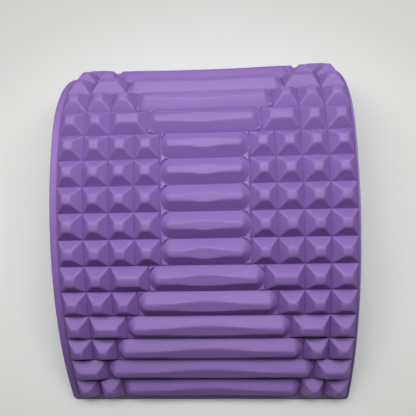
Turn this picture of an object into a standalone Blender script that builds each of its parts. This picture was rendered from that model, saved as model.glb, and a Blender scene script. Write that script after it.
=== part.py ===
# Back stretcher pillow: an arch of moulded foam that is laid on the floor and lain over.
# A soft massage pad with bars and pyramids is bonded to a firmer foam arch on two grip strips.
# X runs across the back, +Y towards the steep end, +Z up; all sizes are in metres.
# The origin is under the middle of the bounding box, on the surface that the pillow stands on.

import math

import bpy
import bmesh
from mathutils import Matrix, Vector

# Pattern of the massage pad
COLUMN_PITCH = 0.0254
ROW_PITCH = 0.0262
SHORTEST_BAR_CELL = 0.088
SIDE_COLUMNS = 4
LEFT_RIM = 0.0076
RIGHT_RIM = 0.0021
END_RIM = 0.007

# Widths of the pyramids beside each bar, in columns from the outer edge, from the middle row out
SIDE_CELLS = (
    (1, 1, 1, 1),
    (1, 1, 1, 1),
    (1, 1, 1, 1),
    (1, 1, 1.5),
    (1, 1, 1),
    (1, 1.5),
    (1, 1),
    (1.5,),
    (1, 1),
)

# Relief that stands on the pad
RELIEF_HEIGHT = 0.009
GROOVE = 0.0012
PYRAMID_TOP = 0.006
BAR_TOP = 0.0075
BAR_END_RUN = 0.0085
BAR_CORNER_RADIUS = 0.0076
BAR_CORNER_POINTS = 3
SPINE_DIP = 0.0022
SPINE_STATIONS = 5
RELIEF_ROOT = 0.0004

# Length across the back of the hollow in the top of each bar, from the middle row out
SPINE_WIDTHS = (0.038, 0.038, 0.04, 0.071, 0.092, 0.122, 0.146, 0.164, 0.154)

# Side outline of the arch, measured on the floor of the grooves
GENTLE_RADIUS = 0.386
STEEP_RADIUS = 0.102
STEEP_START_ROWS = 2.75
STRAIGHT_START_ROWS = 7.5

# Layers of foam and what they stand on
PAD_THICKNESS = 0.008
CORE_THICKNESS = 0.018
BOND_GAP = 0.0003
STRIP_THICKNESS = 0.002
STRIP_INSET = 0.003
STRIP_CORNER = 0.003
STRIP_CORNER_SEGMENTS = 3

# The outline is drawn this far past its ends before the feet are cut flat
FOOT_ALLOWANCE = 0.06
LEVEL_TOLERANCE = 1e-6

LAST_ROW = len(SIDE_CELLS) - 1
PATTERN_HALF_LENGTH = (LAST_ROW + 0.5) * ROW_PITCH
SHEET_HALF_LENGTH = PATTERN_HALF_LENGTH + END_RIM
PATTERN_HALF_WIDTH = SHORTEST_BAR_CELL / 2 + SIDE_COLUMNS * COLUMN_PITCH
FOOT_LEVEL = STRIP_THICKNESS + BOND_GAP
SHARP_ANGLE = math.radians(30)
# Which side of its middle each corner of a base is on, X then Y, in the order that goes round it
CORNER_SIDES = ((-1, -1), (1, -1), (1, 1), (-1, 1))

FOAM_COLOUR = (0.305, 0.181, 0.515, 1.0)
FOAM_ROUGHNESS = 0.55
CORE_COLOUR = (0.262, 0.152, 0.455, 1.0)
CORE_ROUGHNESS = 0.6
RUBBER_COLOUR = (0.035, 0.032, 0.042, 1.0)
RUBBER_ROUGHNESS = 0.8


def clear_scene():
    for obj in list(bpy.data.objects):
        bpy.data.objects.remove(obj, do_unlink=True)


def make_material(name, colour, roughness):
    material = bpy.data.materials.new(name)
    material.use_nodes = True
    shader = material.node_tree.nodes["Principled BSDF"]
    shader.inputs["Base Color"].default_value = colour
    shader.inputs["Roughness"].default_value = roughness
    shader.inputs["Metallic"].default_value = 0.0
    return material


def add_object(name, bm, material):
    mesh = bpy.data.meshes.new(name)
    bmesh.ops.recalc_face_normals(bm, faces=bm.faces)
    bm.to_mesh(mesh)
    bm.free()
    mesh.materials.append(material)
    obj = bpy.data.objects.new(name, mesh)
    bpy.context.scene.collection.objects.link(obj)
    return obj


# Side outline

def crest_point(distance, depth):
    # Point at a distance along the groove floor from the middle row, before the feet are levelled
    steep_start = STEEP_START_ROWS * ROW_PITCH
    straight_start = STRAIGHT_START_ROWS * ROW_PITCH
    gentle_angle = min(distance, steep_start) / GENTLE_RADIUS
    centre = Vector((0.0, -GENTLE_RADIUS))
    if distance <= steep_start:
        reach = GENTLE_RADIUS - depth
        return centre + reach * Vector((math.sin(gentle_angle), math.cos(gentle_angle)))
    to_joint = Vector((math.sin(gentle_angle), math.cos(gentle_angle)))
    centre += (GENTLE_RADIUS - STEEP_RADIUS) * to_joint
    bent = min(distance, straight_start) - steep_start
    angle = gentle_angle + bent / STEEP_RADIUS
    point = centre + (STEEP_RADIUS - depth) * Vector((math.sin(angle), math.cos(angle)))
    run_out = max(distance - straight_start, 0.0)
    return point + run_out * Vector((math.cos(angle), -math.sin(angle)))


def side_point(distance, depth=0.0):
    # The same point as (y, z) once both ends of the sheet stand on the foot level
    near_end = crest_point(-SHEET_HALF_LENGTH, 0.0)
    chord = crest_point(SHEET_HALF_LENGTH, 0.0) - near_end
    offset = crest_point(distance, depth) - near_end
    along = chord.normalized()
    return Vector((offset.dot(along), offset.dot(Vector((-along.y, along.x))) + FOOT_LEVEL))


def row_edges():
    return [(row - 0.5) * ROW_PITCH for row in range(-LAST_ROW, LAST_ROW + 2)]


def is_above_foot(point):
    return point.y > FOOT_LEVEL + LEVEL_TOLERANCE


def cut_at_foot(points):
    # Keeps the part of a closed (y, z) outline that lies above the foot level
    kept = []
    for here, after in zip(points, points[1:] + points[:1]):
        if is_above_foot(here):
            kept.append(here)
        if is_above_foot(here) != is_above_foot(after):
            share = (FOOT_LEVEL - here.y) / (after.y - here.y)
            kept.append(here.lerp(after, share))
    return kept


def layer_outline(top_depth, bottom_depth):
    reach = SHEET_HALF_LENGTH + FOOT_ALLOWANCE
    stations = [-reach, -SHEET_HALF_LENGTH] + row_edges() + [SHEET_HALF_LENGTH, reach]
    outer = [side_point(distance, top_depth) for distance in stations]
    inner = [side_point(distance, bottom_depth) for distance in stations]
    return cut_at_foot(outer + inner[::-1])


def layer_body(top_depth, bottom_depth):
    # A layer of foam: its side outline drawn out from the left edge of the sheet to the right
    left = -PATTERN_HALF_WIDTH - LEFT_RIM
    width = 2 * PATTERN_HALF_WIDTH + LEFT_RIM + RIGHT_RIM
    bm = bmesh.new()
    outline = layer_outline(top_depth, bottom_depth)
    verts = [bm.verts.new((left, point.x, point.y)) for point in outline]
    side = bm.faces.new(verts)
    drawn = bmesh.ops.extrude_face_region(bm, geom=[side])["geom"]
    moved = [item for item in drawn if isinstance(item, bmesh.types.BMVert)]
    bmesh.ops.translate(bm, verts=moved, vec=(width, 0, 0))
    return bm


# Relief of the massage pad

def row_frame(row):
    # Frame on the flat facet of one row: X across, Y towards the steep end, Z out of the pad
    low = side_point((row - 0.5) * ROW_PITCH)
    high = side_point((row + 0.5) * ROW_PITCH)
    facet = high - low
    along = facet.normalized()
    middle = (low + high) / 2
    frame = Matrix((
        (1.0, 0.0, 0.0, 0.0),
        (0.0, along.x, -along.y, middle.x),
        (0.0, along.y, along.x, middle.y),
        (0.0, 0.0, 0.0, 1.0),
    ))
    return frame, facet.length


def root_loop(outline, run_x, run_y):
    # Carries a base outline down its own flanks, so that the relief is rooted in the pad
    spread_x = run_x * RELIEF_ROOT / RELIEF_HEIGHT
    spread_y = run_y * RELIEF_ROOT / RELIEF_HEIGHT
    half_x = max(abs(x) for x, y in outline)
    half_y = max(abs(y) for x, y in outline)
    grow_x = 1 + spread_x / half_x
    grow_y = 1 + spread_y / half_y
    return [Vector((x * grow_x, y * grow_y, -RELIEF_ROOT)) for x, y in outline]


def add_pyramid(bm, frame, middle_x, width, length):
    half_x = (width - GROOVE) / 2
    half_y = (length - GROOVE) / 2
    run_x = (COLUMN_PITCH - GROOVE - PYRAMID_TOP) / 2
    run_y = half_y - PYRAMID_TOP / 2
    top_x = half_x - run_x
    top_y = half_y - run_y
    root = root_loop([(i * half_x, j * half_y) for i, j in CORNER_SIDES], run_x, run_y)
    top = [Vector((i * top_x, j * top_y, RELIEF_HEIGHT)) for i, j in CORNER_SIDES]
    place = frame @ Matrix.Translation((middle_x, 0.0, 0.0))
    low = [bm.verts.new(place @ point) for point in root]
    high = [bm.verts.new(place @ point) for point in top]
    bm.faces.new(low[::-1])
    bm.faces.new(high)
    for i in range(4):
        j = (i + 1) % 4
        bm.faces.new((low[i], low[j], high[j], high[i]))


def rounded_corner(half_x, half_y, sign_x, sign_y):
    # Corner points of a bar's base, in the order that goes round the base with the others
    radius = BAR_CORNER_RADIUS
    steps = [i / (BAR_CORNER_POINTS - 1) * math.pi / 2 for i in range(BAR_CORNER_POINTS)]
    if sign_x * sign_y < 0:
        steps.reverse()
    x = half_x - radius
    y = half_y - radius
    return [(sign_x * (x + radius * math.cos(a)), sign_y * (y + radius * math.sin(a)))
            for a in steps]


def spine_drop(share):
    # Depth of the shallow hollow over the spine, at a share of its half width from the middle
    return SPINE_DIP * max(1 - share * share, 0.0)


def add_bar(bm, frame, half_cell, length, spine_width):
    half_x = half_cell - GROOVE / 2
    half_y = (length - GROOVE) / 2
    run_y = half_y - BAR_TOP / 2
    end_x = half_x - BAR_END_RUN
    corners = [rounded_corner(half_x, half_y, i, j) for i, j in CORNER_SIDES]
    root = root_loop(sum(corners, []), BAR_END_RUN, run_y)
    low = [bm.verts.new(frame @ point) for point in root]
    last = SPINE_STATIONS - 1
    hollow = [spine_width * (i / last - 0.5) for i in range(SPINE_STATIONS)]
    stations = [-end_x] + hollow + [end_x]
    near = []
    far = []
    for x in stations:
        drop = spine_drop(2 * x / spine_width)
        y = BAR_TOP / 2 + run_y * drop / RELIEF_HEIGHT
        near.append(bm.verts.new(frame @ Vector((x, -y, RELIEF_HEIGHT - drop))))
        far.append(bm.verts.new(frame @ Vector((x, y, RELIEF_HEIGHT - drop))))
    for i in range(len(stations) - 1):
        bm.faces.new((near[i], near[i + 1], far[i + 1], far[i]))
    bm.faces.new(low[::-1])
    tops = (near[0], near[-1], far[-1], far[0])
    size = BAR_CORNER_POINTS
    for corner, top in enumerate(tops):
        arc = low[corner * size:(corner + 1) * size]
        for i in range(size - 1):
            bm.faces.new((arc[i], arc[i + 1], top))
    bm.faces.new([low[size - 1], low[size]] + near[::-1])
    bm.faces.new((low[2 * size - 1], low[2 * size], far[-1], near[-1]))
    bm.faces.new([low[3 * size - 1], low[3 * size]] + far)
    bm.faces.new((low[4 * size - 1], low[0], near[0], far[0]))


def relief_body():
    bm = bmesh.new()
    for row in range(-LAST_ROW, LAST_ROW + 1):
        frame, length = row_frame(row)
        edge = PATTERN_HALF_WIDTH
        for columns in SIDE_CELLS[abs(row)]:
            width = columns * COLUMN_PITCH
            for side in (-1, 1):
                add_pyramid(bm, frame, side * (edge - width / 2), width, length)
            edge -= width
        add_bar(bm, frame, edge, length, SPINE_WIDTHS[abs(row)])
    return bm


# Sub-parts

def make_massage_pad(material):
    pad = add_object("massage_pad", layer_body(0.0, PAD_THICKNESS), material)
    relief = add_object("relief_guide", relief_body(), material)
    relief.hide_render = True
    relief.display_type = "WIRE"
    join = pad.modifiers.new("relief", "BOOLEAN")
    join.operation = "UNION"
    join.solver = "EXACT"
    join.object = relief
    return pad, relief


def make_support_arch(material):
    top_depth = PAD_THICKNESS + BOND_GAP
    core = add_object("support_arch", layer_body(top_depth, top_depth + CORE_THICKNESS), material)
    core.data.shade_smooth()
    core.data.set_sharp_from_angle(angle=SHARP_ANGLE)
    return core


def foot_ends(top_depth, bottom_depth):
    # Where a layer's two feet begin and end along Y, on the foot level
    outline = layer_outline(top_depth, bottom_depth)
    flat = sorted(point.x for point in outline if not is_above_foot(point))
    return flat[:2], flat[2:]


def make_grip_strip(name, foot, material):
    left = -PATTERN_HALF_WIDTH - LEFT_RIM + STRIP_INSET
    right = PATTERN_HALF_WIDTH + RIGHT_RIM - STRIP_INSET
    low = foot[0] + STRIP_INSET
    high = foot[1] - STRIP_INSET
    bm = bmesh.new()
    outline = ((left, low), (right, low), (right, high), (left, high))
    face = bm.faces.new([bm.verts.new((x, y, 0.0)) for x, y in outline])
    drawn = bmesh.ops.extrude_face_region(bm, geom=[face])["geom"]
    moved = [item for item in drawn if isinstance(item, bmesh.types.BMVert)]
    bmesh.ops.translate(bm, verts=moved, vec=(0, 0, STRIP_THICKNESS))
    upright = [edge for edge in bm.edges if edge.verts[0].co.z != edge.verts[1].co.z]
    bmesh.ops.bevel(bm, geom=upright, offset=STRIP_CORNER, offset_type="OFFSET",
                    segments=STRIP_CORNER_SEGMENTS, profile=0.5, affect="EDGES")
    strip = add_object(name, bm, material)
    strip.data.shade_smooth()
    strip.data.set_sharp_from_angle(angle=SHARP_ANGLE)
    return strip


def centre_of_plan(objects):
    corners = [vertex.co for obj in objects for vertex in obj.data.vertices]
    low = Vector([min(corner[i] for corner in corners) for i in range(2)])
    high = Vector([max(corner[i] for corner in corners) for i in range(2)])
    return (low + high) / 2


def build():
    clear_scene()
    foam = make_material("soft_foam", FOAM_COLOUR, FOAM_ROUGHNESS)
    firm_foam = make_material("firm_foam", CORE_COLOUR, CORE_ROUGHNESS)
    rubber = make_material("grip_rubber", RUBBER_COLOUR, RUBBER_ROUGHNESS)
    pad, relief = make_massage_pad(foam)
    core = make_support_arch(firm_foam)
    core_top = PAD_THICKNESS + BOND_GAP
    near_foot, far_foot = foot_ends(core_top, core_top + CORE_THICKNESS)
    pieces = [pad, relief, core]
    pieces.append(make_grip_strip("grip_strip_gentle_end", near_foot, rubber))
    pieces.append(make_grip_strip("grip_strip_steep_end", far_foot, rubber))
    middle = centre_of_plan(pieces)
    origin = bpy.data.objects.new("pillow", None)
    bpy.context.scene.collection.objects.link(origin)
    origin.location = (-middle.x, -middle.y, 0.0)
    for piece in pieces:
        piece.parent = origin


build()
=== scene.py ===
import math

import bmesh
import bpy
import numpy as np
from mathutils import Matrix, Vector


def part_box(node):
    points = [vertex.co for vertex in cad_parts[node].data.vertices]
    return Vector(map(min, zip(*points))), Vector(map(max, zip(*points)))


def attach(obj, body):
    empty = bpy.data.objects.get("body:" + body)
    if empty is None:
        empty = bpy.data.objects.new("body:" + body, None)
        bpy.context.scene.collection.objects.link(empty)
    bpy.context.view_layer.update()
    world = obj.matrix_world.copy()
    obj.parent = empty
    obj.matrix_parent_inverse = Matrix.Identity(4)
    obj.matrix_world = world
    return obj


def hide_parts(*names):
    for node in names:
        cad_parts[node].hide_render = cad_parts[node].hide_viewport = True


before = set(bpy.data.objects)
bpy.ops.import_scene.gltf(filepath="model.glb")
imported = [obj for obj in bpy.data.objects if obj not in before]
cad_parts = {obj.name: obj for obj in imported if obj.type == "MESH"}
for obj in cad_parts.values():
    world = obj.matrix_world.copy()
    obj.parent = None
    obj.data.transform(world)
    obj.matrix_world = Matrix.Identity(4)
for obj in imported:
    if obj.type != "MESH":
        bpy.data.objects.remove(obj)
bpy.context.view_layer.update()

# Moulded pattern of the massage pad, in metres
pattern = {
    "columnPitch": 0.0254,
    "rowPitch": 0.0262,
    "shortestBar": 0.088,  # cell of the bars in the middle rows
    "sideColumns": 4,
    "leftRim": 0.0076,
    "rightRim": 0.0021,
    "endRim": 0.007,
    # pyramid widths in columns from the outer edge, from the middle row out
    "sideCells": ((1, 1, 1, 1), (1, 1, 1, 1), (1, 1, 1, 1), (1, 1, 1.5), (1, 1, 1),
                  (1, 1.5), (1, 1), (1.5,), (1, 1)),
}
besideBar = [sum(cells) for cells in pattern["sideCells"]]  # columns on either side of each row's bar
lastRow = len(pattern["sideCells"]) - 1
halfWidth = pattern["shortestBar"] / 2 + pattern["sideColumns"] * pattern["columnPitch"]
halfPattern = (lastRow + 0.5) * pattern["rowPitch"]
halfSheet = halfPattern + pattern["endRim"]
leftEdge = -halfWidth - pattern["leftRim"]
rightEdge = halfWidth + pattern["rightRim"]

# Side outline of the arch, on the floor of the grooves
arch = {
    "gentleRadius": 0.386,
    "steepRadius": 0.102,
    "steepStart": 2.75 * pattern["rowPitch"],
    "straightStart": 7.5 * pattern["rowPitch"],
    "footLevel": 0.0023,
    "footSearch": (0.08, 0.05),  # inside and outside the end of the sheet
    "footHalvings": 40,
}


def curveAlong(along):  # (y, z, tilt) at a distance from the middle row, before the feet are levelled
    along = np.asarray(along, float)
    gentle = np.minimum(along, arch["steepStart"]) / arch["gentleRadius"]
    bent = np.clip(along, arch["steepStart"], arch["straightStart"]) - arch["steepStart"]
    tilt = gentle + bent / arch["steepRadius"]
    runOut = np.maximum(along - arch["straightStart"], 0)
    y = arch["gentleRadius"] * np.sin(gentle)
    z = arch["gentleRadius"] * (np.cos(gentle) - 1)
    y = y + arch["steepRadius"] * (np.sin(tilt) - np.sin(gentle)) + runOut * np.cos(tilt)
    z = z + arch["steepRadius"] * (np.cos(tilt) - np.cos(gentle)) - runOut * np.sin(tilt)
    return y, z, tilt


footY, footZ = curveAlong([-halfSheet, halfSheet])[:2]
levelTurn = math.atan2(footZ[1] - footZ[0], footY[1] - footY[0])
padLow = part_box("massage_pad")[0]
shift = {"x": padLow.x - leftEdge, "y": padLow.y}


def sidePoint(along, depth):  # (y, z) in the frame, with the depth inwards from the groove floor
    y, z, tilt = curveAlong(along)
    y = y - depth * np.sin(tilt) - footY[0]
    z = z - depth * np.cos(tilt) - footZ[0]
    turnedY = y * math.cos(levelTurn) + z * math.sin(levelTurn)
    turnedZ = z * math.cos(levelTurn) - y * math.sin(levelTurn)
    return turnedY + shift["y"], turnedZ + arch["footLevel"]


def footAlong(depth, end):  # how far along a layer meets the floor, end is -1 or 1
    depth = np.asarray(depth, float)
    inside, outside = arch["footSearch"]
    outer = np.full(depth.shape, end * (halfSheet + outside))
    inner = np.full(depth.shape, end * (halfSheet - inside))
    for halving in range(arch["footHalvings"]):
        middle = (outer + inner) / 2
        above = sidePoint(middle, depth)[1] > arch["footLevel"]
        inner = np.where(above, middle, inner)
        outer = np.where(above, outer, middle)
    return (outer + inner) / 2


# Relief of the pad: how high it stands and how soft its edges are. Rows count from the middle one,
# and those towards the gentle foot are negative.
relief = {
    "height": 0.009,
    "groove": 0.0015,
    "grooveDepth": 0.0015,
    # grooves get shallower towards the gentle foot: rows from the middle one, share of the depth
    "shallowFrom": (5.5, 6.5, 7.5),
    "shallowTo": (1, 0.5, 0.25),
    "flankShare": 0.675,  # share of half a pitch that groove and flank of a pyramid take
    "pyramidHeight": 0.0099,
    "pyramidCap": 0.0103,  # height of the rounded top that cuts the pyramid off
    "pyramidCapRadius": 0.022,
    "pyramidEdge": 0.0005,
    "hip": 0.0004,
    "hipAtTop": 0.0036,  # the hips widen towards the top
    "barSideRun": 0.0125,  # from the foot of a bar to the middle of its crest's rounding
    "barEndRun": 0.01,
    "crestRound": 0.2,  # share of those runs that rounds the crest's ends
    "barCap": 0.0088,
    "barCapRadius": 0.009,
    "barEdge": 0.0008,
    "barEndEdge": 0.0014,  # softer still at the ends
    "barEndPace": 3,  # at 3, that is reached after a third of the run of the end
    "endGroove": 0.0009,  # round the ends of the bars
    "endGrooveDepth": 0.0006,
    "web": 0.002,  # height of the small flats between the rounded ends of the bars
    "webLow": 0.0006,  # the same in the rows up to webLowRow, beside a bar of another length
    "webLowRow": -4,
    "webSlope": 2.5,
    "hollow": 0.0016,  # depth of the hollow over the spine
    "hollowNear": 0.002,  # the same in the rows before hollowRow
    "hollowRow": -1,
    "hollowEdge": 0.0003,
    # length of that hollow across the back, from the middle row out
    "hollowLengths": (0.042, 0.042, 0.044, 0.076, 0.096, 0.126, 0.148, 0.164, 0.154),
}
tiny = 0.001  # keeps a division away from zero


def softMin(a, b, width):
    nearness = np.maximum(width - np.abs(a - b), 0) / width
    return np.minimum(a, b) - nearness ** 2 * width / 4


def notch(distance, width=relief["groove"], depth=relief["grooveDepth"]):
    # The V of a groove, by the distance from its middle
    return -depth * np.maximum(1 - np.abs(distance) / (width / 2), 0)


def pyramidHeight(x, y, width):
    half = relief["groove"] / 2
    top = relief["pyramidHeight"]
    slopeX = top / (pattern["columnPitch"] / 2 * relief["flankShare"] - half)
    slopeY = top / (pattern["rowPitch"] / 2 * relief["flankShare"] - half)
    awayX = width / 2 - np.abs(x)
    awayY = pattern["rowPitch"] / 2 - np.abs(y)
    flankX = (awayX - half) * slopeX
    flankY = (awayY - half) * slopeY
    share = np.clip(np.minimum(flankX, flankY) / top, 0, 1)
    body = softMin(flankX, flankY, relief["hip"] + relief["hipAtTop"] * share ** 2)
    pastX = np.maximum(np.abs(x) - (width - pattern["columnPitch"]) / 2, 0)
    cap = relief["pyramidCap"] - (pastX ** 2 + y ** 2) / (2 * relief["pyramidCapRadius"])
    away = np.minimum(awayX, awayY)
    return np.where(away < half, notch(away), softMin(body, cap, relief["pyramidEdge"]))


def barFall(x, y, halfCell):
    # Fall of the flank, 0 on the crest and 1 at the rounded foot, the share of the end's run, the
    # run there, and whether the point lies past a corner of the foot
    half = relief["groove"] / 2
    endRun = relief["barEndRun"]
    sideRun = relief["barSideRun"]
    pastX = np.maximum(endRun + half - halfCell + np.abs(x), 0) / endRun
    pastY = np.maximum(sideRun + half - pattern["rowPitch"] / 2 + np.abs(y), 0) / sideRun
    past = np.hypot(pastX, pastY)
    run = (pastX ** 2 * endRun + pastY ** 2 * sideRun) / np.maximum(past, tiny) ** 2
    fall = np.maximum(past - relief["crestRound"], 0) / (1 - relief["crestRound"])
    inCorner = (fall > 1) & (pastX > 0) & (pastX < 1) & (pastY > 0)
    return fall, pastX, run * (1 - relief["crestRound"]), inCorner


def barHeight(x, y, halfCell, row, joined, hollow, webTop):
    # The flanks fall away evenly all round the crest, so the foot has rounded corners
    half = relief["groove"] / 2
    awayX = halfCell - np.abs(x)
    awayY = pattern["rowPitch"] / 2 - np.abs(y)
    fall, pastX, run, inCorner = barFall(x, y, halfCell)
    cap = relief["barCap"] - y ** 2 / (2 * relief["barCapRadius"])
    edge = relief["barEdge"] + relief["barEndEdge"] * np.minimum(pastX * relief["barEndPace"], 1)
    body = softMin((1 - fall) * relief["height"], cap, edge)
    share = np.minimum(np.abs(2 * x / relief["hollowLengths"][row]), 1)
    floor = relief["barCap"] - hollow * (1 - share ** 2)
    body = softMin(body, floor, relief["hollowEdge"])
    # The groove follows the foot; a flat is left between it and the pyramids
    past = (fall - 1) * run
    endGroove = relief["endGroove"]
    sideways = np.where(joined & inCorner, np.inf, awayY)
    straight = notch(np.minimum(awayX, sideways))
    curved = notch(past - endGroove / 2, endGroove, relief["endGrooveDepth"])
    room = np.minimum(np.minimum(awayX, sideways) - half, past - endGroove)
    web = np.clip(room * relief["webSlope"], 0, webTop)
    corner = np.where(room > 0, web, np.minimum(straight, curved))
    return np.where(inCorner, corner, np.where(np.minimum(awayX, awayY) < half, straight, body))


def rowAndPlace(along):  # row at a distance from the middle one, and the distance from its own middle
    rows = np.clip(np.rint(along / pattern["rowPitch"]), -lastRow, lastRow)
    return rows, along - rows * pattern["rowPitch"]


def reliefHeight(x, along):  # height over the groove floor, x from the spine
    pitch = pattern["rowPitch"]
    rows, y = rowAndPlace(along)
    side = np.abs(x)
    height = np.zeros(side.shape)
    outwards = np.where(rows == 0, 1, y * np.sign(rows)) > 0
    for row, cells in enumerate(pattern["sideCells"]):
        here = np.abs(rows) == row
        inner = halfWidth
        limit = np.inf  # the outermost cell also covers the rim
        for columns in cells:
            outer = inner
            inner = outer - columns * pattern["columnPitch"]
            mine = here & (side > inner) & (side <= limit)
            height[mine] = pyramidHeight(side[mine] - (inner + outer) / 2, y[mine], outer - inner)
            limit = inner
        mine = here & (side <= inner)
        beyond = row < lastRow and besideBar[row + 1] == besideBar[row]
        before = row > 0 and besideBar[row - 1] == besideBar[row]
        joined = np.where(outwards[mine], beyond, before)  # the next bar ends at the same place
        hollow = np.where(rows[mine] < relief["hollowRow"], relief["hollowNear"], relief["hollow"])
        webTop = np.where(joined | (rows[mine] > relief["webLowRow"]), relief["web"], relief["webLow"])
        height[mine] = barHeight(x[mine], y[mine], inner, row, joined, hollow, webTop)
    shallow = np.interp(-along / pitch, relief["shallowFrom"], relief["shallowTo"])
    betweenRows = np.abs(y) > (pitch - relief["groove"]) / 2
    height = np.where(betweenRows & (height < 0), height * shallow, height)
    # Each row stays as flat as its mould
    radius = np.where(rows * pitch > arch["steepStart"], arch["steepRadius"], arch["gentleRadius"])
    bulge = (pitch ** 2 / 4 - np.minimum(np.abs(y), pitch / 2) ** 2) / (2 * radius)
    bulge = np.where(along > arch["straightStart"], 0, bulge)
    return height * (1 - bulge / relief["height"])


# Layers of foam, in metres
layers = {
    "padThickness": 0.008,
    "coreThickness": 0.018,
    "bondGap": 0.0003,
    "padEdge": 0.0012,  # rounding of the pad's upper edges
    "bondEdge": 0.0005,  # rounding of the edges at the glue line
    "coreEdge": 0.0025,  # rounding of the arch's lower edges
    "planCorner": 0.004,
    "cornerBand": 0.012,  # width along the sides that is drawn in at those corners
    "footBevel": 0.0006,
    "padSkew": 0.03,  # length over which the pad's loops turn level with the floor
    "coreSkew": 0.11,
}

# Lines of their meshes
lines = {
    # shares of half a pitch
    "pitch": (0, 0.058, 0.16, 0.305, 0.345, 0.5, 0.655, 0.695, 0.84, 0.942),
    "cornerCuts": 2,  # extra lines in each cell of the mesh at the bars' corners
    "cornerFall": (0.93, 1.45),  # those corners lie between these falls of the flank
    "cornerPast": (0.02, 1),  # and these shares of the end's run
    "spine": 20,
    "rim": 3,
    "wall": 3,
    "padBelow": 6,
    "coreTop": 24,
    "coreBelow": 36,
    "coreAlong": 150,
    "sideMargin": 0.003,  # from the sides to the first of the lines across
    "end": (0, 0.0008, 0.0016, 0.0028, 0.0042, 0.0056),  # distances from the end of the sheet
    "cutFade": (1, 0.6, 0.1, 0),  # how much of the cut side shows, along the rounding of an edge
    "mostCorners": 8,  # only the flat ends have more corners
    "bevelSegments": 2,
    "fullMark": 0.99,  # a mark above this counts as 1
    "crestStep": 0.0011,  # distance of the heights that tell a crest
    "slopeStep": 0.00012,  # distance of those that give the slope
}


def nearBarCorner(x, along):  # where the mesh needs to be finer
    rows, y = rowAndPlace(along)
    halfCell = halfWidth - np.array(besideBar)[np.abs(rows).astype(int)] * pattern["columnPitch"]
    fall, pastX = barFall(x, y, halfCell)[:2]
    lowFall, highFall = lines["cornerFall"]
    lowPast, highPast = lines["cornerPast"]
    return (fall > lowFall) & (fall < highFall) & (pastX > lowPast) & (pastX < highPast)


def crestOf(x, along, height):  # how far a point stands above those round it
    step = lines["crestStep"]
    around = [reliefHeight(x + i * step, along + j * step) for i, j in ((1, 0), (-1, 0), (0, 1), (0, -1))]
    return (height - sum(around) / 4) / step


def refineCorners(bm):
    # Cuts the faces at the bars' corners finer and lifts the new points to the relief
    across, along, onTop, raised, crested = [
        bm.verts.layers.float[mark] for mark in ("across", "along", "onTop", "relief", "crest")]
    faces = [face for face in bm.faces
             if len(face.verts) == 4 and all(v[onTop] > lines["fullMark"] for v in face.verts)]
    middles = np.array([[sum(v[layer] for v in face.verts) / 4 for layer in (across, along)]
                        for face in faces])
    chosen = [face for face, near in zip(faces, nearBarCorner(*middles.T)) if near]
    edges = list({edge for face in chosen for edge in face.edges})
    made = bmesh.ops.subdivide_edges(bm, edges=edges, cuts=lines["cornerCuts"], use_grid_fill=True)
    points = list({v for v in made["geom_inner"] + made["geom_split"] if isinstance(v, bmesh.types.BMVert)})
    x = np.array([v[across] for v in points])
    way = np.array([v[along] for v in points])
    height = reliefHeight(x, way)
    crest = crestOf(x, way, height)
    y, z = sidePoint(way, -height)
    for v, *values in zip(points, (x + shift["x"]).tolist(), y.tolist(), z.tolist(),
                          (height / relief["height"]).tolist(), crest.tolist()):
        v.co = values[:3]
        v[raised], v[crested] = values[3:]


def shadeByRelief(mesh):
    # Gives the points on top the exact slope of the relief, so flats stay flat right up to their edges
    count = len(mesh.vertices)
    across, along, onTop = [np.zeros(count, np.float32) for mark in range(3)]
    for mark, values in (("across", across), ("along", along), ("onTop", onTop)):
        mesh.attributes[mark].data.foreach_get("value", values)
    chosen = onTop > lines["fullMark"]
    x, way = across[chosen].astype(float), along[chosen].astype(float)

    def spot(stepX, stepAlong):
        y, z = sidePoint(way + stepAlong, -reliefHeight(x + stepX, way + stepAlong))
        return np.stack([x + stepX, y, z], -1)

    step = lines["slopeStep"]
    slope = np.cross(spot(step, 0) - spot(-step, 0), spot(0, step) - spot(0, -step))
    slope /= np.linalg.norm(slope, axis=1)[:, None]
    corners = len(mesh.loops)
    vertex = np.zeros(corners, np.int32)
    mesh.loops.foreach_get("vertex_index", vertex)
    normals = np.zeros(corners * 3, np.float32)
    mesh.corner_normals.foreach_get("vector", normals)
    normals = normals.reshape(-1, 3)
    exact = np.zeros((count, 3))
    exact[chosen] = slope
    here = chosen[vertex]
    normals[here] = exact[vertex][here]
    mesh.normals_split_custom_set(normals.tolist())


def splitFaces(faces, ways):  # along one diagonal where the way is above 0, the other where it is below
    parted = []
    for (a, b, c, d), way in zip(faces, ways):
        if way == 0:
            parted.append((a, b, c, d))
        elif way > 0:
            parted += [(a, b, c), (a, c, d)]
        else:
            parted += [(a, b, d), (b, c, d)]
    return parted


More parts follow.
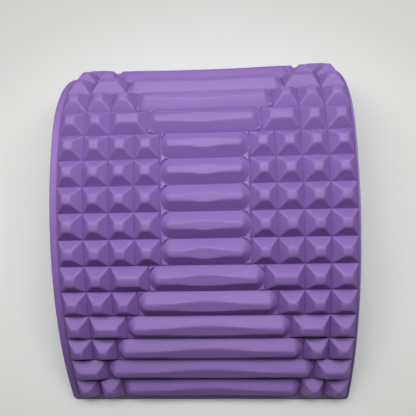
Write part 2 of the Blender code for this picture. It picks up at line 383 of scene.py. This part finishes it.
def makeBody(name, points, marks, bevel, ways=None):
    # One closed skin over rows of loops: points[row, place], with a flat cap at either end
    rows, around = points.shape[:2]
    index = np.arange(rows * around).reshape(rows, around)
    here, after = index[:-1], index[1:]
    faces = np.stack([here, np.roll(here, -1, 1), np.roll(after, -1, 1), after], -1)
    faces = faces.reshape(-1, 4).tolist()
    if ways is not None:
        faces = splitFaces(faces, ways.reshape(-1).tolist())
    faces.append(index[0, ::-1].tolist())
    faces.append(index[-1].tolist())
    mesh = bpy.data.meshes.new(name)
    mesh.from_pydata(points.reshape(-1, 3).tolist(), [], faces)
    for mark, values in marks.items():
        layer = mesh.attributes.new(mark, "FLOAT", "POINT")
        layer.data.foreach_set("value", values.reshape(-1).astype(np.float32))
    bm = bmesh.new()
    bm.from_mesh(mesh)
    if "onTop" in marks:
        refineCorners(bm)
    if bevel > 0:
        caps = [face for face in bm.faces if len(face.verts) > lines["mostCorners"]]
        rim = list({edge for cap in caps for edge in cap.edges})
        bmesh.ops.bevel(bm, geom=rim, offset=bevel, offset_type="OFFSET", profile=0.5,
                        segments=lines["bevelSegments"], affect="EDGES", clamp_overlap=True)
    bmesh.ops.recalc_face_normals(bm, faces=bm.faces)
    for face in bm.faces:
        face.smooth = True
        if len(face.verts) > lines["mostCorners"]:
            for edge in face.edges:
                edge.smooth = False
    bm.to_mesh(mesh)
    bm.free()
    if "onTop" in marks:
        shadeByRelief(mesh)
    piece = bpy.data.objects.new(name, mesh)
    bpy.context.scene.collection.objects.link(piece)
    return piece


def roundedLoop(top, depths, edges, lower):
    # Cross-section of a layer from the left edge over the top and back below: (x, depth, on the cut side)
    topDepth, lowDepth = depths
    topEdge, lowEdge = edges
    fade = np.array(lines["cutFade"])
    turns = np.linspace(0, math.pi / 2, len(fade))
    arcX = topEdge * (1 - np.cos(turns))
    arcDepth = topDepth + topEdge * (1 - np.sin(turns))
    lowX = lowEdge * (1 - np.sin(turns))
    lowDepths = lowDepth - lowEdge * (1 - np.cos(turns))
    wall = np.linspace(topDepth + topEdge, lowDepth - lowEdge, lines["wall"] + 2)[1:-1]
    onWall = np.ones(len(wall))
    x = [leftEdge + arcX, top, rightEdge - arcX[::-1], onWall * rightEdge,
         rightEdge - lowX[::-1], lower[::-1], leftEdge + lowX, onWall * leftEdge]
    depth = [arcDepth, np.full(len(top), topDepth), arcDepth[::-1], wall,
             lowDepths[::-1], np.full(len(lower), lowDepth), lowDepths, wall[::-1]]
    cut = [fade, np.zeros(len(top)), fade[::-1], onWall,
           fade, np.zeros(len(lower)), fade[::-1], onWall]
    return np.concatenate(x), np.concatenate(depth), np.concatenate(cut)


def placeLoops(stations, x, depth, skew):
    # Carries a cross-section along the arch: feet cut level, corners of the plan rounded
    along = np.repeat(stations[:, None], depth.shape[1], 1)
    inwards = np.maximum(depth, 0)
    for end in (-1, 1):
        nearness = np.clip(1 - (halfSheet - end * along) / skew, 0, 1)
        along = along + nearness * (footAlong(inwards, end) - end * halfSheet)
    radius = layers["planCorner"]
    left = np.maximum(radius - (halfSheet - np.abs(stations)), 0)[:, None]
    inset = radius - np.sqrt(radius ** 2 - left ** 2)
    x = np.repeat(x[None, :], len(stations), 0)
    middle = (leftEdge + rightEdge) / 2
    reach = (rightEdge - leftEdge) / 2
    band = layers["cornerBand"]
    outness = np.clip((np.abs(x - middle) - reach + band) / band, 0, 1)
    x = x - np.sign(x - middle) * inset * outness
    y, z = sidePoint(along, depth)
    return np.stack([x + shift["x"], y, z], -1), along


def pitchLines(start, steps, length):  # the shares of half a pitch, repeated
    shares = np.array(lines["pitch"])
    return np.concatenate([start + (i + shares) * length for i in range(steps)])


def shorterWays(height, x, along):
    # The way across each face that lies closer to the relief follows the hips of the pyramids
    middleX = (x[:-1, :-1] + x[1:, 1:]) / 2
    middleAlong = (along[:-1, :-1] + along[1:, 1:]) / 2
    centre = reliefHeight(middleX, middleAlong)
    straight = np.abs((height[:-1, :-1] + height[1:, 1:]) / 2 - centre)
    crossed = np.abs((height[:-1, 1:] + height[1:, :-1]) / 2 - centre)
    ways = np.where(straight <= crossed, 1, -1)
    ways[nearBarCorner(middleX, middleAlong)] = 0  # refineCorners needs these whole
    return ways


def makePad():
    halfColumn = pattern["columnPitch"] / 2
    halfRow = pattern["rowPitch"] / 2
    margin = lines["sideMargin"]
    edge = layers["padEdge"]
    arc = len(lines["cutFade"])  # points in the rounding of an edge
    inner = pattern["shortestBar"] / 2 - halfColumn
    rim = np.linspace(leftEdge + edge, -halfWidth, lines["rim"] + 2)[1:-1]
    left = pitchLines(-halfWidth, 2 * pattern["sideColumns"] + 1, halfColumn)
    spine = np.linspace(-inner, inner, lines["spine"] + 1)
    top = np.concatenate([rim, left, spine, -left[::-1]])
    lower = np.linspace(leftEdge + margin, rightEdge - margin, lines["padBelow"])
    x, depth, cut = roundedLoop(top, (0, layers["padThickness"]), (edge, layers["bondEdge"]), lower)
    ends = halfSheet - np.array(lines["end"])
    rows = pitchLines(-halfPattern, 2 * (2 * lastRow + 1), halfRow)
    stations = np.concatenate([-ends, rows, [halfPattern], ends[::-1]])
    grid = np.repeat(depth[None, :], len(stations), 0)
    along = placeLoops(stations, x, grid, layers["padSkew"])[1]
    onTop = np.arange(len(x)) < 2 * arc + len(top)
    acrossTop = np.repeat(x[None, onTop], len(stations), 0)
    alongTop = along[:, onTop]
    height = reliefHeight(acrossTop, alongTop)
    grid[:, onTop] -= height
    points, along = placeLoops(stations, x, grid, layers["padSkew"])

    marks = {mark: np.zeros(grid.shape) for mark in ("relief", "crest", "onTop")}
    marks["relief"][:, onTop] = height / relief["height"]
    marks["crest"][:, onTop] = crestOf(acrossTop, alongTop, height)
    inside = np.abs(stations) < halfSheet - edge
    marks["onTop"][inside, arc:arc + len(top)] = 1
    marks["across"] = np.repeat(x[None, :], len(stations), 0)
    marks["along"] = along
    marks["cutSide"] = np.repeat(cut[None, :], len(stations), 0)

    ways = np.zeros((len(stations) - 1, len(x)))
    ways[:, :int(onTop.sum()) - 1] = shorterWays(height, acrossTop, alongTop)
    return makeBody("foamPad", points, marks, layers["footBevel"], ways)


def makeCore():
    topDepth = layers["padThickness"] + layers["bondGap"]
    lowDepth = topDepth + layers["coreThickness"]
    margin = lines["sideMargin"]
    edge = layers["coreEdge"]
    top = np.linspace(leftEdge + margin, rightEdge - margin, lines["coreTop"])
    lower = np.linspace(leftEdge + edge + margin, rightEdge - edge - margin, lines["coreBelow"])
    x, depth, cut = roundedLoop(top, (topDepth, lowDepth), (layers["bondEdge"], edge), lower)
    ends = halfSheet - np.array(lines["end"])
    rows = np.linspace(-halfPattern, halfPattern, lines["coreAlong"])
    stations = np.concatenate([-ends, rows, ends[::-1]])
    grid = np.repeat(depth[None, :], len(stations), 0)
    points = placeLoops(stations, x, grid, layers["coreSkew"])[0]
    marks = {"cutSide": np.repeat(cut[None, :], len(stations), 0)}
    return makeBody("foamArch", points, marks, layers["footBevel"])


# Rubber strips under the feet, ribbed where they grip
strip = {
    "ribPitch": 0.0026,
    "ribDepth": 0.0006,
    "ribShape": 0.6,  # below 1, the ribs are narrower than the hollows between them
    "ribSteps": 8,
    "border": 0.002,
    "edge": 0.0004,
    "corner": 0.003,
    "cornerPoints": 6,
}


def makeStrip(node, name):
    low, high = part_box(node)
    halfX = (high.x - low.x) / 2
    halfY = (high.y - low.y) / 2
    thick = high.z - low.z
    ribbed = 2 * (halfY - strip["border"])
    ribs = round(ribbed / strip["ribPitch"])
    y = np.linspace(-ribbed / 2, ribbed / 2, ribs * strip["ribSteps"] + 1)
    wave = 0.5 - 0.5 * np.cos((y + ribbed / 2) / ribbed * ribs * 2 * math.pi)
    hollow = strip["ribDepth"] * wave ** strip["ribShape"]
    edge = strip["edge"]
    border = halfY - edge
    loopY = np.concatenate([[-border], y, [border], [halfY, halfY], [border, -border], [-halfY, -halfY]])
    loopZ = np.concatenate([[0], hollow, [0], [edge, thick - edge], [thick, thick], [thick - edge, edge]])
    corner = strip["corner"]
    turns = np.linspace(0, math.pi / 2, strip["cornerPoints"])
    ends = halfX - corner + corner * np.sin(turns)
    inset = corner * (1 - np.cos(turns))
    inner = np.array([halfX - corner - strip["border"] / 2])
    stationX = np.concatenate([-ends[::-1], -inner, inner, ends])
    insets = np.concatenate([inset[::-1], [0, 0], inset])
    smooth = np.zeros(len(ends))
    ribsHere = np.concatenate([smooth, [1, 1], smooth])  # they stop short of the ends
    points = np.zeros((len(stationX), len(loopY), 3))
    points[:, :, 0] = stationX[:, None] + (low.x + high.x) / 2
    points[:, :, 1] = loopY[None, :] * (1 - insets[:, None] / halfY) + (low.y + high.y) / 2
    inRibs = (loopZ <= strip["ribDepth"]) & (np.arange(len(loopZ)) < len(y) + 2)
    depth = np.where(inRibs[None, :], loopZ[None, :] * ribsHere[:, None], loopZ[None, :])
    points[:, :, 2] = depth + low.z
    return makeBody(name, points, {}, 0)


print("foam pad")
pad = makePad()
print("foam arch")
core = makeCore()
print("grip strips")
gentleStrip = makeStrip("grip_strip_gentle_end", "gentleStrip")
steepStrip = makeStrip("grip_strip_steep_end", "steepStrip")


class Wire:  # an output of a node that takes part in sums
    def __init__(self, nodes, socket):
        self.nodes = nodes
        self.socket = socket

    def combine(self, operation, first, second):
        return self.nodes.node("ShaderNodeMath", {"operation": operation}, {0: first, 1: second})

    def __add__(self, other):
        return self.combine("ADD", self, other)

    def __sub__(self, other):
        return self.combine("SUBTRACT", self, other)

    def __rsub__(self, other):
        return self.combine("SUBTRACT", other, self)

    def __mul__(self, other):
        return self.combine("MULTIPLY", self, other)

    __radd__ = __add__
    __rmul__ = __mul__


class Nodes:  # a node tree, and the one way in which nodes are added to it
    def __init__(self, tree):
        self.tree = tree

    def node(self, kind, settings, sockets, out=0):
        made = self.tree.nodes.new(kind)
        for key, value in settings.items():
            setattr(made, key, value)
        for key, value in sockets.items():
            if isinstance(value, Wire):
                self.link(value, made.inputs[key])
            else:
                made.inputs[key].default_value = value
        return Wire(self, made.outputs[out])

    def link(self, wire, socket):
        self.tree.links.new(wire.socket, socket)


class Paint(Nodes):  # one material and its nodes
    def __init__(self, name, **fixed):
        self.material = bpy.data.materials.new(name)
        self.material.use_nodes = True
        super().__init__(self.material.node_tree)
        self.shader = self.tree.nodes["Principled BSDF"]
        for socket, value in fixed.items():
            self.shader.inputs[socket.replace("_", " ")].default_value = value

    def feed(self, **wires):
        for socket, wire in wires.items():
            self.link(wire, self.shader.inputs[socket.replace("_", " ")])

    def place(self):
        return self.node("ShaderNodeTexCoord", {}, {}, "Object")

    def axis(self, where, letter):
        return self.node("ShaderNodeSeparateXYZ", {}, {"Vector": where}, letter)

    def noise(self, where, grain):  # grain is cells to a metre, detail and roughness
        scale, detail, roughness = grain
        return self.node("ShaderNodeTexNoise", {},
                         {"Vector": where, "Scale": scale, "Detail": detail, "Roughness": roughness})

    def waver(self, where, grain):  # the same noise, but around 0
        return self.noise(where, grain) - 0.5

    def mark(self, name):
        return self.node("ShaderNodeAttribute", {"attribute_name": name}, {}, "Fac")

    def step(self, value, reach):  # 0 before the reach, 1 past it
        low, high = reach
        return self.node("ShaderNodeMapRange", {"interpolation_type": "SMOOTHSTEP"},
                         {"Value": value, "From Min": low, "From Max": high})

    def mix(self, share, first, second):  # of two colours
        return self.node("ShaderNodeMix", {"data_type": "RGBA"}, {0: share, 6: first, 7: second}, 2)

    def bump(self, height, strength, distance):
        return self.node("ShaderNodeBump", {},
                         {"Strength": strength, "Distance": distance, "Height": height}, "Normal")


foam = {
    "body": (0.249, 0.138, 0.44, 1),
    "core": (0.223, 0.126, 0.396, 1),
    "grooveShade": (0.13, 0.066, 0.265, 1),  # painted shade in the grooves
    "crest": (0.3, 0.18, 0.485, 1),  # worn skin, and painted highlight along crests and hips
    "cut": (0.235, 0.137, 0.404, 1),
    # painted shade in the pores of the cut sides
    "poreShade": (0.172, 0.101, 0.322, 1),
    "grooveShadeShare": 0.6,
    "crestHighlightShare": 0.5,
    "poreShadeShare": 0.45,
    "tint": 0.06,  # the skin is lighter and darker by this share
    "cloudTone": 0.5,
    "mottleTone": 0.3,
    "toneReach": (0.25, 0.75),
    # noises as cells to a metre, detail and roughness
    "cloud": (14, 3, 0.55),
    "mottle": (260, 3, 0.6),
    "grain": (1500, 2, 0.6),
    "pores": 850,  # cells of cut foam to a metre
    "poreReach": (0.55, 0.2),  # from the walls of a cell to its floor
    # heights as shares of the relief
    "grooveReach": (0, -0.12),
    "wornAndHighlightHeight": (0.02, 0.2),
    "wornAndHighlightReach": (0.03, 0.25),  # from flat skin to the sharpest crest
    "wornAndHighlightMottle": 0.1,
    "specular": 0.55,
    "roughness": 0.55,
    "roughMottle": 0.12,
    "roughGrain": 0.1,
    "roughWorn": 0.06,
    "roughGroove": 0.35,
    "roughCut": 0.22,
    "bump": (0.35, 0.00025),  # strength and height
    "poreDepth": 1.2,
}


def tinted(colour, factor):
    return [channel * factor for channel in colour[:3]] + [1]


def foamPaint(name, body, withRelief):
    paint = Paint(name, Specular_IOR_Level=foam["specular"])
    where = paint.place()
    cloud = paint.waver(where, foam["cloud"])
    mottle = paint.waver(where, foam["mottle"])
    grain = paint.waver(where, foam["grain"])
    tone = paint.step(cloud * foam["cloudTone"] + mottle * foam["mottleTone"] + 0.5, foam["toneReach"])
    colour = paint.mix(tone, tinted(body, 1 - foam["tint"]), tinted(body, 1 + foam["tint"]))
    rough = foam["roughness"] + mottle * foam["roughMottle"] + grain * foam["roughGrain"]
    if withRelief:
        height = paint.mark("relief")
        crest = paint.mark("crest")
        # Painted shade: the grooves are painted darker, and made rougher
        groove = paint.step(height, foam["grooveReach"])
        colour = paint.mix(groove * foam["grooveShadeShare"], colour, foam["grooveShade"])
        # Worn skin and painted highlight: crests and hips are painted lighter
        wornAndHighlight = paint.step(crest + mottle * foam["wornAndHighlightMottle"], foam["wornAndHighlightReach"])
        wornAndHighlight = wornAndHighlight * paint.step(height, foam["wornAndHighlightHeight"])
        colour = paint.mix(wornAndHighlight * foam["crestHighlightShare"], colour, foam["crest"])
        rough = rough + wornAndHighlight * foam["roughWorn"] + groove * foam["roughGroove"]
    cutSide = paint.mark("cutSide")
    pores = paint.node("ShaderNodeTexVoronoi", {"feature": "F1"},
                       {"Vector": where, "Scale": foam["pores"], "Randomness": 1.0}, "Distance")
    # Painted shade: the floors of the pores on the cut sides are painted darker
    pit = paint.step(pores, foam["poreReach"])
    colour = paint.mix(cutSide, colour, paint.mix(pit * foam["poreShadeShare"], foam["cut"], foam["poreShade"]))
    rough = rough + cutSide * foam["roughCut"]
    skin = grain * (1 - cutSide) - pit * cutSide * foam["poreDepth"]
    paint.feed(Base_Color=colour, Roughness=rough, Normal=paint.bump(skin, *foam["bump"]))
    return paint.material


rubber = {
    "body": (0.03, 0.028, 0.036, 1),
    "dusty": (0.075, 0.07, 0.08, 1),
    "dustShare": 0.5,
    "dustReach": (0.45, 0.8),
    "dust": (120, 4, 0.65),  # noises as on the foam
    "grain": (2200, 2, 0.5),
    "specular": 0.45,
    "roughness": 0.66,
    "roughDust": 0.2,
    "bump": (0.3, 0.0002),
}


def rubberPaint():
    paint = Paint("gripRubber", Specular_IOR_Level=rubber["specular"])
    where = paint.place()
    dust = paint.noise(where, rubber["dust"])
    dusty = paint.step(dust, rubber["dustReach"]) * rubber["dustShare"]
    colour = paint.mix(dusty, rubber["body"], rubber["dusty"])
    bump = paint.bump(paint.noise(where, rubber["grain"]), *rubber["bump"])
    paint.feed(Base_Color=colour, Roughness=rubber["roughness"] + dust * rubber["roughDust"], Normal=bump)
    return paint.material


print("materials")
gripPaint = rubberPaint()
pad.data.materials.append(foamPaint("padFoam", foam["body"], True))
core.data.materials.append(foamPaint("archFoam", foam["core"], False))
for piece in (gentleStrip, steepStrip):
    piece.data.materials.append(gripPaint)

for piece, node, slotName in ((pad, "massage_pad", "soft_foam"),
                              (core, "support_arch", "firm_foam"),
                              (gentleStrip, "grip_strip_gentle_end", "grip_rubber"),
                              (steepStrip, "grip_strip_steep_end", "grip_rubber")):
    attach(piece, "root")
    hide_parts(node)

# Floor and light
studio = {
    "floorRadius": 0.65,
    "floorCorners": 64,
    "floorFade": (0.62, 0.3),  # distances from the middle at which the floor is gone and still whole
    # The floor is painted lighter towards the near side: painted light that makes up for the close panel's
    # falloff
    "floorFar": (0.8, 0.81, 0.785, 1),
    "floorNear": (0.94, 0.955, 0.925, 1),
    "floorMiddle": 0.45,  # share of the far tone at the middle
    "floorGain": 1.6,  # and how much more of it for each metre further back
    "floorCloud": (6, 3, 0.5),
    "floorMottle": 0.15,
    "floorSpecular": 0.2,
    "floorRoughness": 0.8,
    "backdrop": (0.68, 0.69, 0.67, 1),  # only what the camera sees past the floor
    "lamps": (  # place, watts, width and height in metres
        ((0.0, 0.15, 0.65), 5.2, 1.0, 0.3),  # soft panel close above
        ((0.0, 2.9, 1.3), 12.5, 3.8, 1.5),  # large and soft, from behind
        ((-2.7, 1.1, 1.3), 8, 1.6, 1.4),  # left
        ((2.65, 1.1, 1.3), 4, 1.6, 1.4),  # right
    ),
}


def makeFloor():
    bm = bmesh.new()
    bmesh.ops.create_circle(bm, cap_ends=True, cap_tris=True, segments=studio["floorCorners"],
                            radius=studio["floorRadius"])
    mesh = bpy.data.meshes.new("floor")
    bm.to_mesh(mesh)
    bm.free()
    floor = bpy.data.objects.new("floor", mesh)
    bpy.context.scene.collection.objects.link(floor)
    paint = Paint("floorPaint", Specular_IOR_Level=studio["floorSpecular"],
                  Roughness=studio["floorRoughness"])
    where = paint.place()
    cloud = paint.waver(where, studio["floorCloud"])
    # Painted light: the near side of the floor is painted lighter
    far = paint.axis(where, "Y") * studio["floorGain"] + studio["floorMiddle"]
    far = paint.step(far + cloud * studio["floorMottle"], (0, 1))
    away = paint.node("ShaderNodeVectorMath", {"operation": "LENGTH"}, {0: where}, "Value")
    paint.feed(Base_Color=paint.mix(far, studio["floorNear"], studio["floorFar"]),
               Alpha=paint.step(away, studio["floorFade"]))
    mesh.materials.append(paint.material)


def makeLights():
    world = bpy.data.worlds.new("studioWorld")
    bpy.context.scene.world = world
    world.use_nodes = True
    sky = world.node_tree.nodes["Background"]
    sky.inputs["Color"].default_value = studio["backdrop"]
    nodes = Nodes(world.node_tree)
    nodes.link(nodes.node("ShaderNodeLightPath", {}, {}, "Is Camera Ray"), sky.inputs["Strength"])
    for number, (place, watts, width, height) in enumerate(studio["lamps"]):
        lamp = bpy.data.lights.new("softLamp%d" % number, "AREA")
        lamp.shape = "RECTANGLE"
        lamp.energy = watts
        lamp.size = width
        lamp.size_y = height
        holder = bpy.data.objects.new(lamp.name, lamp)
        holder.location = place
        holder.rotation_mode = "QUATERNION"
        holder.rotation_quaternion = holder.location.normalized().to_track_quat("Z", "Y")
        holder.visible_camera = False
        bpy.context.scene.collection.objects.link(holder)


# The camera looks down, a little towards the steep end
camera = {
    "place": (0.02251, -0.07666, 0.47454),
    "turn": (11.842, 2.732, -0.641),  # degrees about X, Y and Z
    "lens": 34.615,
    "sensorWidth": 36,
    "nearest": 0.01,
}


def makeCamera():
    view = bpy.data.cameras.new("photoCamera")
    view.sensor_width = camera["sensorWidth"]
    view.lens = camera["lens"]
    view.clip_start = camera["nearest"]
    holder = bpy.data.objects.new("photoCamera", view)
    holder.location = camera["place"]
    holder.rotation_euler = [math.radians(turn) for turn in camera["turn"]]
    bpy.context.scene.collection.objects.link(holder)
    bpy.context.scene.camera = holder


print("studio")
makeFloor()
makeLights()
makeCamera()
bpy.context.scene.view_settings.view_transform = "Standard"
